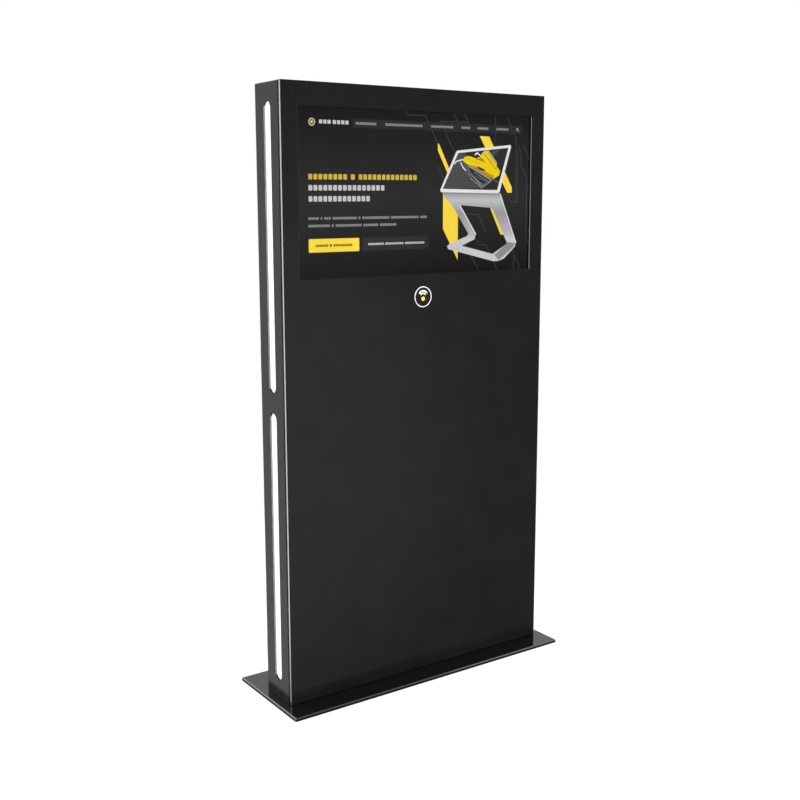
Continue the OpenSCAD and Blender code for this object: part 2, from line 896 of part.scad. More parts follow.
// Leaf on the -X side of the axis, flat against the cabinet, cut back round the pin's bore.
module leaf(z0, z1, bore_r) {
    wall_y = rear_y - hinge_y;
    difference() {
        block([-2 - leaf_w, wall_y, z0], [0, wall_y + leaf_t, z1]);
        translate([0, 0, z0 - 1]) cylinder(h = z1 - z0 + 2, r = bore_r);
    }
}

module hinge_fixed_leaves() {
    end_h = hinge_h / 4;
    color(metal) for (i = [0 : hinge_count - 1]) translate([hinge_x, hinge_y, hinge_z(i)]) {
        for (z = [-hinge_h / 2, hinge_h / 2 - end_h]) {
            knuckle(z, z + end_h, pin_r);
            leaf(z, z + end_h, pin_r);
        }
        block([-2 - leaf_w, rear_y - hinge_y, -hinge_h / 2],
            [-knuckle_r - 0.6, rear_y - hinge_y + leaf_t, hinge_h / 2]);
    }
}

module hinge_moving_leaves() {
    gap = 0.3;
    reach = hinge_h / 4 - gap;
    color(metal) for (i = [0 : hinge_count - 1]) translate([hinge_x, hinge_y, hinge_z(i)]) {
        knuckle(-reach, reach, pin_r + running_gap);
        mirror([1, 0, 0]) {
            leaf(-reach, reach, pin_r + running_gap);
            block([-2 - leaf_w, rear_y - hinge_y, -hinge_h / 2],
                [-knuckle_r - 0.6, rear_y - hinge_y + leaf_t, hinge_h / 2]);
        }
    }
}

module hinge_pins() {
    color("#8d9196") for (i = [0 : hinge_count - 1]) translate([hinge_x, hinge_y, hinge_z(i)]) {
        translate([0, 0, -hinge_h / 2]) cylinder(h = hinge_h, r = pin_r);
        for (z = [-hinge_h / 2 - 2, hinge_h / 2]) translate([0, 0, z]) cylinder(h = 2, r = knuckle_r);
    }
}

module lock_housing() {
    color(metal) difference() {
        union() {
            rod_y(lock_x, ledge_y - sheet - 0.5, rear_y + 2, lock_z, barrel_r);
            rod_y(lock_x, rear_y, rear_y + 2, lock_z, 12);
            translate([lock_x, ledge_y - sheet, lock_z]) rotate([-90, 0, 0])
                cylinder(h = panel_y - ledge_y + sheet, r = 13.5, $fn = 6);
        }
        rod_y(lock_x, ledge_y - 10, rear_y + 5, lock_z, plug_r + running_gap);
    }
}

// Key plug with its cam. The cam points up when unlocked, clear of the ledge.
module lock_cam() {
    cam_y = ledge_y - sheet - 1;
    cam_t = 3;
    cam_w = 14;
    color("#c9ccd0") translate([lock_x, 0, lock_z]) {
        difference() {
            rod_y(0, cam_y - cam_t, rear_y + 1.6, 0, plug_r);
            block([-0.9, rear_y - 4, -3.5], [0.9, rear_y + 2, 3.5]);
        }
        difference() {
            union() {
                rod_y(0, cam_y - cam_t, cam_y, 0, cam_w / 2 + 2);
                block([-cam_w / 2, cam_y - cam_t, 0], [cam_w / 2, cam_y, cam_len]);
            }
            rod_y(0, cam_y - cam_t - 1, cam_y + 1, 0, plug_r - 1);
        }
    }
}

base_plate();
foot_pads();
base_brackets();
base_bolts();
inner_frame();
front_panel();
side_panel_left();
side_panel_right();
top_panel();
rear_cover();
rear_crossrail();
rear_sill();
front_clips();
panel_screws();
emblem_badge();
touch_glass();
touch_sensor();
glass_gasket();
glass_retainer();
lcd_panel();
lcd_driver_board();
touch_controller();
display_rail_left();
display_rail_right();
diffuser(-1, 0);  // diffuser_left_lower
diffuser(-1, 1);  // diffuser_left_upper
diffuser(1, 0);  // diffuser_right_lower
diffuser(1, 1);  // diffuser_right_upper
light_channel(-1, 0);  // light_channel_left_lower
light_channel(-1, 1);  // light_channel_left_upper
light_channel(1, 0);  // light_channel_right_lower
light_channel(1, 1);  // light_channel_right_upper
led_strip(-1, 0);  // led_strip_left_lower
led_strip(-1, 1);  // led_strip_left_upper
led_strip(1, 0);  // led_strip_right_lower
led_strip(1, 1);  // led_strip_right_upper
equipment_plate();
mini_pc();
pc_power_button();
led_driver();
power_strip();
power_rocker();
mains_inlet();
mains_lead();
display_cable();
usb_cable();
fan_housing(-1);  // fan_housing_left
fan_housing(1);  // fan_housing_right
fan_rotor(-1);  // fan_rotor_left
fan_rotor(1);  // fan_rotor_right
fan_guard(-1);  // fan_guard_left
fan_guard(1);  // fan_guard_right
fan_screws();
service_door();
door_gasket();
hinge_fixed_leaves();
hinge_moving_leaves();
hinge_pins();
lock_housing();
lock_cam();
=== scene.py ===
"""Looks of the touchscreen kiosk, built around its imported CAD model. All positions are in metres."""
import json
import math

import bmesh
import bpy
from mathutils import Matrix, Vector
from mathutils.geometry import tessellate_polygon


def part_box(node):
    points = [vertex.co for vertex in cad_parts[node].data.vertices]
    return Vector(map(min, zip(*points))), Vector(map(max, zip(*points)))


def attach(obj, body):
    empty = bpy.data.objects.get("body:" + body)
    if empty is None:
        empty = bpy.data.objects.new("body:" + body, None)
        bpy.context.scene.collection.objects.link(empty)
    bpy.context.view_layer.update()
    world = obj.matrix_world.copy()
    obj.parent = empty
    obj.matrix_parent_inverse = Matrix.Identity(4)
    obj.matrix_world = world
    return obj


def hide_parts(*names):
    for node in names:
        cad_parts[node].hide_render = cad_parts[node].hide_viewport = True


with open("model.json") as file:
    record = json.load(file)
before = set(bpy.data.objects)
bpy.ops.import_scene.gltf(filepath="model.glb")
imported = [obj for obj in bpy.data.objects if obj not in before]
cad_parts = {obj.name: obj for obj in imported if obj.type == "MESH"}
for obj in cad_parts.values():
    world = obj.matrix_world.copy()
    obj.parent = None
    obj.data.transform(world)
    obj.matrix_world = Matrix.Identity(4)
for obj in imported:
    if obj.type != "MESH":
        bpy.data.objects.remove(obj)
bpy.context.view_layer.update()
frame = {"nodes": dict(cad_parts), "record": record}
nodes = frame["nodes"]
MM = 0.001


# ---------------------------------------------------------------- colours and node helpers


def srgb(red, green, blue):
    """Linear colour of an 8-bit display colour."""
    channels = [c / 255 for c in (red, green, blue)]
    linear = [c / 12.92 if c <= 0.04045 else ((c + 0.055) / 1.055) ** 2.4 for c in channels]
    return (*linear, 1.0)


class Nodes:
    """Short forms for the shader nodes that the materials share."""

    def __init__(self, tree):
        self.tree = tree

    def feed(self, socket, value):
        """Links a value that comes from another node, or sets a plain one."""
        if isinstance(value, bpy.types.NodeSocket):
            self.tree.links.new(value, socket)
        else:
            socket.default_value = value

    def add(self, kind, inputs=None, **settings):
        """A new node. inputs maps the name or number of each input to its value."""
        node = self.tree.nodes.new(kind)
        for name, value in settings.items():
            setattr(node, name, value)
        for key, value in (inputs or {}).items():
            self.feed(node.inputs[key], value)
        return node

    def place(self):
        return self.add("ShaderNodeTexCoord").outputs["Object"]

    def noise(self, scale, detail=3.0, roughness=0.5, stretch=None):
        """Noise over the piece's own position; scale is in cells per metre."""
        place = self.place()
        if stretch:
            place = self.add("ShaderNodeMapping", {"Vector": place, "Scale": stretch}).outputs["Vector"]
        inputs = {"Vector": place, "Scale": scale, "Detail": detail, "Roughness": roughness}
        return self.add("ShaderNodeTexNoise", inputs).outputs["Fac"]

    def spread(self, value, low, high, start=0.3, end=0.7):
        """Maps value from start..end to low..high."""
        inputs = {"Value": value, "From Min": start, "From Max": end, "To Min": low, "To Max": high}
        return self.add("ShaderNodeMapRange", inputs).outputs["Result"]

    def mix(self, factor, first, second):
        """Blend of two colours, which are inputs 6 and 7 of the node."""
        return self.add("ShaderNodeMix", {0: factor, 6: first, 7: second}, data_type="RGBA").outputs[2]

    def mix_shaders(self, factor, first, second):
        return self.add("ShaderNodeMixShader", {0: factor, 1: first, 2: second}).outputs["Shader"]

    def math(self, operation, first, second):
        return self.add("ShaderNodeMath", {0: first, 1: second}, operation=operation).outputs["Value"]

    def vector_math(self, operation, first, second=(0, 0, 0)):
        return self.add("ShaderNodeVectorMath", {0: first, 1: second}, operation=operation).outputs

    def rounded(self, radius):
        """Normal that rounds the sharp edges by radius."""
        return self.add("ShaderNodeBevel", {"Radius": radius}, samples=4).outputs["Normal"]

    def edge_mask(self, rounded_normal):
        """1 at a sharp edge and 0 on flat faces."""
        true_normal = self.add("ShaderNodeNewGeometry").outputs["Normal"]
        likeness = self.vector_math("DOT_PRODUCT", rounded_normal, true_normal)["Value"]
        return self.spread(likeness, 1.0, 0.0, 0.8, 0.995)

    def bump(self, height, distance, normal, strength):
        inputs = {"Height": height, "Distance": distance, "Strength": strength, "Normal": normal}
        return self.add("ShaderNodeBump", inputs).outputs["Normal"]

    def along(self, axis):
        """Position along one axis, in metres."""
        return self.add("ShaderNodeSeparateXYZ", {"Vector": self.place()}).outputs[axis]


def make_material(name, build):
    """A Principled material whose inputs are given by build(nodes) as a dict."""
    material = bpy.data.materials.new(name)
    material.use_nodes = True
    shader = Nodes(material.node_tree)
    principled = material.node_tree.nodes["Principled BSDF"]
    for socket, value in build(shader).items():
        shader.feed(principled.inputs[socket], value)
    return material


# ---------------------------------------------------------------- materials


def powder_coat(name, dark, light, roughness):
    """Satin powder coat: fine orange peel, faint cloudiness, edges rubbed slightly brighter."""

    def build(n):
        rounded = n.rounded(0.3 * MM)
        cloud = n.noise(9, 4)
        grain = n.noise(2600, 2)
        base = n.mix(n.spread(cloud, 0.0, 1.0), dark, light)
        speckled = n.mix(n.spread(grain, 0.0, 0.35), base, light)
        worn = n.math("MULTIPLY", n.edge_mask(rounded), n.spread(n.noise(60, 4), 0.0, 0.25))
        return {
            "Base Color": n.mix(worn, speckled, srgb(96, 98, 102)),
            "Roughness": n.spread(cloud, roughness * 0.85, roughness * 1.2),
            "Normal": n.bump(n.noise(900, 3), 0.02 * MM, rounded, 0.35),
        }

    return make_material(name, build)


def gloss_black_plate():
    """Polished black lacquer with hairline wipe marks and a little dust."""

    def build(n):
        rounded = n.rounded(0.6 * MM)
        wipe = n.noise(120, 3, stretch=(1.0, 9.0, 1.0))
        dust = n.spread(n.noise(420, 4, 0.7), 0.0, 1.0, 0.66, 0.80)
        colour_share = n.math("MULTIPLY", dust, 0.25)
        return {
            "Base Color": n.mix(colour_share, srgb(14, 14, 15), srgb(120, 120, 118)),
            "Roughness": n.math("ADD", n.spread(wipe, 0.035, 0.085), n.math("MULTIPLY", dust, 0.2)),
            "Normal": n.bump(n.noise(14, 2), 0.05 * MM, rounded, 0.15),
        }

    return make_material("gloss_plate_lacquer", build)


def rubber(name):
    """Matte closed-cell foam rubber."""

    def build(n):
        grain = n.noise(1800, 3)
        return {
            "Base Color": n.mix(n.spread(n.noise(40, 3), 0.0, 1.0), srgb(20, 20, 21), srgb(34, 34, 35)),
            "Roughness": n.spread(grain, 0.72, 0.9),
            "Specular IOR Level": 0.06,
            "Normal": n.bump(grain, 0.05 * MM, n.rounded(0.4 * MM), 0.5),
        }

    return make_material(name, build)


def metal(name, dark, light, roughness, stretch=None, worn=0.0):
    """Bare or plated metal. stretch draws the noise out into brush lines."""

    def build(n):
        rounded = n.rounded(0.35 * MM)
        brush = n.noise(900, 3, stretch=stretch)
        stain = n.noise(26, 4)
        base = n.mix(n.spread(stain, 0.0, 1.0), dark, light)
        rubbed = n.math("MULTIPLY", n.edge_mask(rounded), worn)
        return {
            "Base Color": n.mix(rubbed, base, srgb(222, 223, 225)),
            "Metallic": 1.0,
            "Roughness": n.spread(brush, roughness - 0.06, roughness + 0.1),
            "Normal": n.bump(brush, 0.02 * MM, rounded, 0.3),
        }

    return make_material(name, build)


def moulded_plastic(name, dark, light, roughness, texture=700):
    """Moulded plastic with a spark-eroded texture."""

    def build(n):
        rounded = n.rounded(0.4 * MM)
        return {
            "Base Color": n.mix(n.spread(n.noise(35, 4), 0.0, 1.0), dark, light),
            "Roughness": n.spread(n.noise(180, 3), roughness - 0.05, roughness + 0.07),
            "Normal": n.bump(n.noise(texture, 2), 0.04 * MM, rounded, 0.4),
        }

    return make_material(name, build)


def opal_acrylic(glow_strength):
    """Back-lit opal strip, faintly dimmer between the LEDs behind it."""

    def build(n):
        mottle = n.spread(n.noise(30, 2), 0.97, 1.03)
        wave = {"Vector": n.place(), "Scale": 10.5, "Distortion": 0.0}
        bands = n.add("ShaderNodeTexWave", wave, bands_direction="Z").outputs["Fac"]
        glow = n.math("MULTIPLY", mottle, n.spread(bands, 0.985, 1.0, 0.0, 1.0))
        return {
            "Base Color": srgb(150, 150, 148),
            "Roughness": n.spread(n.noise(500, 2), 0.3, 0.4),
            "Emission Color": n.mix(glow, srgb(0, 0, 0), (1.0, 1.0, 0.99, 1.0)),
            "Emission Strength": glow_strength,
        }

    return make_material("opal_acrylic_lit", build)


def screen_light(name, colour, strength=1.0):
    """A lit area of the display: an even backlight with faint unevenness."""

    def build(n):
        uneven = n.spread(n.noise(5, 2), 0.94, 1.06)
        return {
            "Base Color": (0.004, 0.004, 0.004, 1.0),
            "Roughness": 0.5,
            "Specular IOR Level": 0.0,
            "Emission Color": colour,
            "Emission Strength": n.math("MULTIPLY", uneven, strength),
        }

    return make_material(name, build)


def screen_gradient(name, bottom, top, colours):
    """A lit area whose colour follows the height: colours holds (share of the height, colour) pairs."""

    def build(n):
        height = n.spread(n.along("Z"), 0.0, 1.0, bottom, top)
        ramp = n.add("ShaderNodeValToRGB", {"Fac": height})
        stops = ramp.color_ramp.elements
        for spare in list(stops)[1:]:
            stops.remove(spare)
        stops[0].position, stops[0].color = colours[0]
        for share, colour in colours[1:]:
            stops.new(share).color = colour
        return {
            "Base Color": (0.003, 0.003, 0.003, 1.0),
            "Roughness": 0.5,
            "Specular IOR Level": 0.0,
            "Emission Color": ramp.outputs["Color"],
            "Emission Strength": n.spread(n.noise(7, 2), 0.96, 1.04),
        }

    return make_material(name, build)


def clear_glass(name, ior, tint, smudge):
    """Coated cover glass: clear, with a weak mirror and faint finger smudges."""
    material = bpy.data.materials.new(name)
    material.use_nodes = True
    tree = material.node_tree
    tree.nodes.remove(tree.nodes["Principled BSDF"])
    n = Nodes(tree)
    smear = n.spread(n.noise(22, 5, 0.6), 0.02, 0.02 + smudge, 0.5, 0.75)
    clear = n.add("ShaderNodeBsdfTransparent", {"Color": tint}).outputs["BSDF"]
    mirror = n.add("ShaderNodeBsdfGlossy", {"Color": (1, 1, 1, 1), "Roughness": smear}).outputs["BSDF"]
    share = n.add("ShaderNodeFresnel", {"IOR": ior}).outputs["Fac"]
    n.feed(tree.nodes["Material Output"].inputs["Surface"], n.mix_shaders(share, clear, mirror))
    return material


def circuit_board():
    """Green solder mask with copper tracks showing through as a grid of lines."""

    def build(n):
        upright = n.add("ShaderNodeMapping", {"Vector": n.place(), "Rotation": (math.pi / 2, 0, 0)})
        tracks = n.add("ShaderNodeTexBrick", {
            "Vector": upright.outputs["Vector"], "Scale": 60.0, "Color1": srgb(18, 70, 38),
            "Color2": srgb(24, 88, 47), "Mortar": srgb(58, 128, 66), "Mortar Size": 0.04})
        return {
            "Base Color": tracks.outputs["Color"],
            "Roughness": n.spread(n.noise(300, 2), 0.3, 0.45),
            "Normal": n.bump(tracks.outputs["Fac"], 0.05 * MM, n.rounded(0.3 * MM), 0.4),
        }

    return make_material("circuit_board_mask", build)


SATIN_BLACK = powder_coat("satin_black_coat", srgb(19, 19, 20), srgb(24, 24, 25), 0.11)
BLACK_PLASTIC = moulded_plastic("black_plastic", srgb(20, 20, 22), srgb(30, 30, 32), 0.5)
CABLE_BLACK = moulded_plastic("cable_jacket_black", srgb(18, 18, 19), srgb(30, 30, 31), 0.42, 400)

SLOT_MATERIALS = {
    "black_sheet": SATIN_BLACK,
    "gloss_plate": gloss_black_plate(),
    "rubber_black": rubber("foam_rubber_black"),
    "zinc_steel": metal("zinc_plate", srgb(150, 153, 158), srgb(188, 190, 194), 0.34, worn=0.3),
    "black_screws": metal("black_oxide", srgb(30, 30, 32), srgb(48, 48, 50), 0.36, worn=0.6),
    "hinge_steel": powder_coat("hinge_black_coat", srgb(20, 20, 21), srgb(30, 30, 31), 0.45),
    "bright_steel": metal("bright_steel", srgb(190, 192, 195), srgb(214, 215, 218), 0.18, worn=0.2),
    "badge": moulded_plastic("badge_base", srgb(14, 14, 15), srgb(20, 20, 21), 0.3, 300),
    "clear_glass": clear_glass("cover_glass", 1.22, (0.97, 0.97, 0.97, 1), 0.10),
    "sensor_film": clear_glass("sensor_film_clear", 1.05, (0.98, 0.98, 0.98, 1), 0.02),
    "lcd": moulded_plastic("lcd_frame", srgb(10, 10, 11), srgb(15, 15, 16), 0.35),
    "circuit_board": circuit_board(),
    "dark_plastic": BLACK_PLASTIC,
    "opal_acrylic": opal_acrylic(0.85),
    "anodised": metal("anodised_channel", srgb(176, 178, 180), srgb(205, 206, 208), 0.32, (1, 1, 0.02)),
    "led_board": moulded_plastic("led_board_white", srgb(226, 224, 214), srgb(240, 238, 230), 0.4),
    "device_grey": powder_coat("device_grey_coat", srgb(52, 54, 58), srgb(62, 64, 68), 0.42),
    "button_silver": metal("button_silver", srgb(176, 178, 182), srgb(205, 206, 210), 0.25),
    "driver_case": metal("driver_case", srgb(165, 167, 170), srgb(196, 198, 200), 0.3, (0.03, 1, 1)),
    "strip_plastic": moulded_plastic("strip_white", srgb(214, 214, 210), srgb(228, 228, 225), 0.4),
    "rocker_red": moulded_plastic("rocker_red", srgb(168, 26, 20), srgb(196, 38, 28), 0.22, 200),
    "cable_jacket": CABLE_BLACK,
    "guard_steel": metal("guard_plated", srgb(150, 152, 155), srgb(190, 191, 194), 0.22, worn=0.2),
}


def dress_cad_nodes():
    for part in frame["record"]["subparts"]:
        mesh = nodes[part["node"]].data
        mesh.materials.clear()
        mesh.materials.append(SLOT_MATERIALS[part["material_slot"]])


# ---------------------------------------------------------------- mesh helpers


def new_piece(name, bm, material, body, smooth_deg=None):
    """Turns a bmesh into a piece that rides on a body."""
    bmesh.ops.recalc_face_normals(bm, faces=bm.faces)
    mesh = bpy.data.meshes.new(name)
    bm.to_mesh(mesh)
    bm.free()
    if smooth_deg is not None:
        mesh.polygons.foreach_set("use_smooth", [True] * len(mesh.polygons))
        mesh.set_sharp_from_angle(angle=math.radians(smooth_deg))
    mesh.materials.append(material)
    piece = bpy.data.objects.new(name, mesh)
    bpy.context.scene.collection.objects.link(piece)
    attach(piece, body)
    return piece


def arc(centre, radius, start_deg, end_deg, steps):
    """Points on an arc in a plane, from start to end."""
    turns = [math.radians(start_deg + (end_deg - start_deg) * i / steps) for i in range(steps + 1)]
    return [(centre[0] + radius * math.cos(a), centre[1] + radius * math.sin(a)) for a in turns]


def rounded_rect(left, bottom, right, top, radius, steps=6):
    """Outline of a rectangle with round corners."""
    corners = [(right - radius, bottom + radius, -90), (right - radius, top - radius, 0),
               (left + radius, top - radius, 90), (left + radius, bottom + radius, 180)]
    return [p for x, z, start in corners for p in arc((x, z), radius, start, start + 90, steps)]


def slab(bm, loops, front_y, back_y):
    """Adds a closed plate in the XZ plane. The first loop is its outline, the others are holes."""
    flat = [Vector((x, z, 0)) for loop in loops for x, z in loop]
    faces = tessellate_polygon([[Vector((x, z, 0)) for x, z in loop] for loop in loops])
    front = [bm.verts.new((p.x, front_y, p.y)) for p in flat]
    back = [bm.verts.new((p.x, back_y, p.y)) for p in flat]
    for a, b, c in faces:
        bm.faces.new((front[a], front[b], front[c]))
        bm.faces.new((back[c], back[b], back[a]))
    start = 0
    for loop in loops:
        count = len(loop)
        for i in range(count):
            a, b = start + i, start + (i + 1) % count
            bm.faces.new((front[a], back[a], back[b], front[b]))
        start += count


def line_outline(points, width):
    """Outline of a line of constant width through points, with mitred corners."""
    left, right = [], []
    for i, point in enumerate(points):
        here = Vector(point)
        before = (here - Vector(points[i - 1])).normalized() if i else None
        after = (Vector(points[i + 1]) - here).normalized() if i + 1 < len(points) else None
        run = ((before or after) + (after or before)).normalized()
        side = Vector((-run.y, run.x))
        stretch = 1 / max(0.5, run.dot(after or before))
        offset = side * width / 2 * stretch
        left.append(tuple(here + offset))
        right.append(tuple(here - offset))
    return left + right[::-1]


def tube(bm, points, radius, sides, closed=False):
    """Adds a round tube through points."""
    rings = []
    count = len(points)
    normal = None
    for i, point in enumerate(points):
        ahead = points[(i + 1) % count] if closed or i + 1 < count else point
        behind = points[i - 1] if closed or i else point
        run = (Vector(ahead) - Vector(behind)).normalized()
        if normal is None:
            normal = run.orthogonal().normalized()
        normal = (normal - run * normal.dot(run)).normalized()
        across = run.cross(normal)
        ring = []
        for k in range(sides):
            angle = 2 * math.pi * k / sides
            spoke = math.cos(angle) * normal + math.sin(angle) * across
            ring.append(bm.verts.new(Vector(point) + radius * spoke))
        rings.append(ring)
    pairs = list(zip(rings, rings[1:]))
    if closed:
        pairs.append((rings[-1], rings[0]))
    for first, second in pairs:
        for k in range(sides):
            bm.faces.new((first[k], first[(k + 1) % sides], second[(k + 1) % sides], second[k]))
    if not closed:
        bm.faces.new(rings[0][::-1])
        bm.faces.new(rings[-1])


def lathe(bm, profile, centre, sides=48):
    """Adds a solid of revolution about a Y line through centre. profile holds (radius, y offset) pairs."""
    rings = []
    for radius, offset in profile:
        y = centre[1] + offset
        if radius == 0:
            rings.append([bm.verts.new((centre[0], y, centre[2]))])
            continue
        rings.append([
            bm.verts.new((centre[0] + radius * math.cos(2 * math.pi * k / sides), y,
                          centre[2] + radius * math.sin(2 * math.pi * k / sides)))
            for k in range(sides)])
    for first, second in zip(rings, rings[1:]):
        for k in range(sides):
            j = (k + 1) % sides
            if len(first) == 1:
                bm.faces.new((first[0], second[j], second[k]))
            elif len(second) == 1:
                bm.faces.new((first[k], first[j], second[0]))
            else:
                bm.faces.new((first[k], first[j], second[j], second[k]))


# ---------------------------------------------------------------- screen page


class Page:
    """The lit page on the display, drawn in millimetres from the screen opening's top left corner."""

    LAP = 12 * MM  # how far the glass reaches under the front panel on each side
    DEPTH = 1 * MM  # how deep the lit area lies in the LCD's frame
    LAYER = 0.15 * MM  # how far each layer stands in front of the one before
    SHIFT = Vector((7.5, 1.0)) * MM  # right and down, as seen from the front left

    def __init__(self):
        glass_low, glass_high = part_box("touch_glass")
        self.left = glass_low.x + self.LAP
        self.bottom = glass_low.z + self.LAP
        self.top = glass_high.z - self.LAP
        self.face_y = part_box("lcd_panel")[0].y + self.DEPTH
        self.meshes = {}

    def height(self, v):
        return self.top - v * MM

    def point(self, u, v):
        return (self.left + u * MM, self.height(v))

    def shape(self, group, layer, outline, holes=()):
        """Adds a plate, a little thinner than a layer, to a group of one colour."""
        if group not in self.meshes:
            self.meshes[group] = bmesh.new()
        thickness = self.LAYER * 0.9
        front = self.face_y - self.LAYER * layer
        loops = [[self.point(u, v) for u, v in loop] for loop in (outline, *holes)]
        slab(self.meshes[group], loops, front, front + thickness)

    def line(self, group, layer, points, width):
        self.shape(group, layer, line_outline(points, width))

    def bar(self, group, layer, left, top, width, height, radius, steps=4):
        """A rounded bar. Its radius is cut back so that a little of each end stays flat."""
        flat = 0.02
        limit = min(radius, (height - flat) / 2)
        self.shape(group, layer, rounded_rect(left, top, left + width, top + height, limit, steps))

    def words(self, group, left, top, height, widths, gap, pitch):
        """A line of text, greeked: each word is a row of plain blocks about a pitch apart."""
        block_share = 0.76
        corner_share = 0.16
        for width in widths:
            count = max(1, round(width / pitch))
            step = width / count
            for i in range(count):
                block_left = left + i * step
                self.bar(group, 3, block_left, top, step * block_share, height, height * corner_share, 2)
            left += width + gap

    def finish(self, materials):
        """Turns every colour group into a piece. All but the background are shifted."""
        shift = (self.SHIFT.x, 0, -self.SHIFT.y)
        for group, bm in self.meshes.items():
            if group != "page":
                bmesh.ops.translate(bm, verts=bm.verts, vec=shift)
            new_piece("screen_" + group, bm, materials[group], "cabinet")


def draw_heading(page):
    """Three heading lines, the first in yellow, and two lines of small text."""
    for top, group, widths in (
            (203, "yellow_text", (146, 20, 232)),
            (237, "white_text", (289,)),
            (271, "white_text", (232,))):
        page.words(group, 35, top, 17, widths, 10, 18.5)
    page.words("grey_text", 33, 336, 8, (39, 7, 25, 92, 8, 106, 112, 28), 6, 8)
    page.words("grey_text", 33, 359, 8, (80, 8, 99, 58, 66), 6, 8)


def draw_buttons(page):
    """A yellow button and a grey one, each with a caption."""
    page.bar("yellow", 2, 33, 403.5, 188, 42, 3)
    page.words("yellow_dark", 58, 421, 8, (48, 10, 72), 4, 8)
    page.bar("button_grey", 2, 232, 403.5, 267, 42, 3)
    page.words("white_text", 256, 421, 7, (62, 74, 80), 5, 8)


def draw_top_bar(page):
    """A plain ring round a dot, a greeked name and the menu with its search icon."""
    ring, hole = (arc((50, 46), radius, 0, 360, 24)[:-1] for radius in (12, 8.5))
    page.shape("white_text", 3, ring, [hole])
    page.shape("yellow", 3, arc((50, 46), 4.5, 0, 360, 20)[:-1])
    page.words("white_text", 76, 38, 12, (46, 62), 4, 17)
    page.bar("nav_grey", 2, 199, 31, 707, 28, 6)
    items = ((211, 80), (325, 149), (509, 93), (636, 38), (706, 48), (789, 54))
    for left, width in items:
        page.words("grey_text", left, 41, 8, (width,), 0, 7.5)
    icon = arc((883, 43), 4.5, 0, 360, 20)[:-1]
    hole = arc((883, 43), 2.8, 0, 360, 20)[:-1]
    page.shape("white_text", 3, icon, [hole])
    page.line("white_text", 3, [(886, 46.5), (890, 51)], 1.8)


def draw_bands(page):
    """Slanted yellow bands behind the picture."""
    bands = (
        [(536, 99), (541, 101), (584, 180), (577, 196), (536, 122)],
        [(715, 71), (757, 71), (862, 242), (862, 261), (842, 261)],
        [(559, 262), (623, 262), (623, 488), (559, 381)],
        [(758, 300), (776, 300), (827, 396), (827, 406), (814, 406)],
    )
    for outline in bands:
        page.shape("yellow", 3, outline)


def draw_tracks(page):
    """Thin lines with 60 degree bends in the page's background."""
    lines = (
        [(405, 0), (413, 12), (484, 12), (536, 99)],
        [(603, 0), (617, 24)],
        [(648, 0), (676, 46), (676, 60)],
        [(603, 122), (546, 27), (666, 27)],
        [(783, 0), (783, 96), (792, 112)],
        [(835, 0), (879, 76), (879, 292), (858, 292), (812, 212)],
        [(887, 94), (902, 120), (902, 164), (932, 214), (932, 416), (942, 434)],
        [(912, 94), (942, 146)],
        [(888, 110), (888, 294), (880, 294)],
        [(545, 171), (545, 190), (563, 220)],
        [(644, 334), (712, 334), (748, 398)],
        [(670, 380), (717, 439), (748, 439), (801, 529)],
        [(640, 410), (717, 529)],
        [(866, 456), (908, 529)],
        [(876, 480), (876, 529)],
    )
    for points in lines:
        page.line("track_grey", 2, points, 1.6)


def draw_stand(page):
    """The bent sheet stand under the tilted panel in the picture."""
    page.shape("stand", 4, [
        (553, 258), (808, 262), (826, 306), (884, 436), (880, 450), (830, 490), (806, 497), (784, 498),
        (582, 450), (577, 440), (586, 433), (664, 407), (668, 398), (596, 300), (574, 284)],
        [[(628, 302), (762, 312), (776, 318), (842, 432), (838, 441), (778, 472), (640, 440),
          (696, 419), (701, 404)]])
    page.shape("stand_shade", 5, [(553, 258), (808, 262), (811, 268), (562, 265)])
    page.line("white_frame", 5, [(630, 302), (702, 403)], 4)
    page.line("white_frame", 5, [(809, 264), (828, 308), (885, 436)], 4)
    page.shape("stand_shade", 5, [
        (838, 441), (842, 432), (882, 437), (872, 452), (806, 494), (786, 476)])


